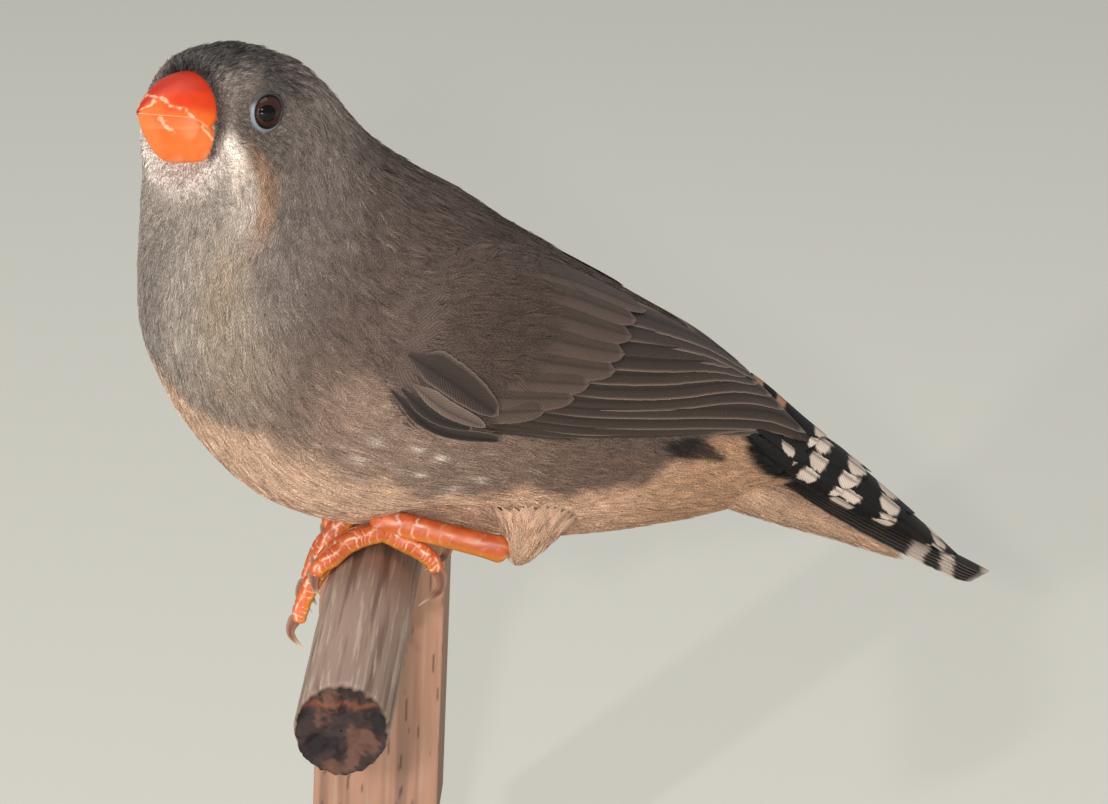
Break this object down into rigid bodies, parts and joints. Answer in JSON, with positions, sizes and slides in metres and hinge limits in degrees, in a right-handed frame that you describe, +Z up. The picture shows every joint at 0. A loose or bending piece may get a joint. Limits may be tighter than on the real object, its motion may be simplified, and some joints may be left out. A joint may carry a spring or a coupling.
{
  "type": "zebra finch on a perch",
  "caption": "Life-size still model of a small grey finch, its head turned aside, that grips a cut length of round dowel held by a square post and a rod on a flat base.",
  "frame": {"origin": "middle of the base's underside", "axes": "+Z up; the dowel runs along Y with its free end towards -Y, where the viewer stands; the bird's bill points towards -X and its tail towards +X"},
  "size_m": [0.1141, 0.1045, 0.1203],
  "materials": {
    "grey_plumage": "fine barbed feathers, ash grey with a darker crown and a pale streak under the eye",
    "body_plumage": "barbed feathers, grey-brown above and on the flank, buff on the belly",
    "wing_plumage": "smooth flight feathers and coverts, grey-brown with thin pale edges",
    "tail_plumage": "black feathers with broad white bars",
    "buff_plumage": "soft, loose buff feathers",
    "bill": "waxy orange-red horn with pale flaked lines",
    "eye": "wet dark red-brown iris round a black pupil",
    "leg": "orange scaled skin with pale scute edges",
    "claw": "translucent brown horn",
    "dowel": "weathered, ridged grey-brown wood with a rough sawn end",
    "post": "plain orange-brown wood with short dark flecks",
    "rod": "satin",
    "base": "dark stained wood under a satin lacquer"
  },
  "bodies": {
    "root": {"head": "grey_plumage", "neck": "grey_plumage", "trunk": "body_plumage", "bill_upper": "bill", "bill_lower": "bill", "eye_left": "eye", "eye_right": "eye", "wing_left_coverts": "wing_plumage", "wing_left_secondaries": "wing_plumage", "wing_left_primaries": "wing_plumage", "wing_right_coverts": "wing_plumage", "wing_right_secondaries": "wing_plumage", "wing_right_primaries": "wing_plumage", "tail": "tail_plumage", "tail_coverts_upper": "tail_plumage", "tail_coverts_under": "buff_plumage", "thigh_left": "buff_plumage", "thigh_right": "buff_plumage", "tarsus_left": "leg", "tarsus_right": "leg", "foot_left": "leg", "foot_right": "leg", "claw_left_outer": "claw", "claw_left_middle": "claw", "claw_left_inner": "claw", "claw_left_hind": "claw", "claw_right_outer": "claw", "claw_right_middle": "claw", "claw_right_inner": "claw", "claw_right_hind": "claw", "perch_dowel": "dowel", "perch_post": "post", "stand_rod": "rod", "stand_base": "base"}
  },
  "joints": []
}
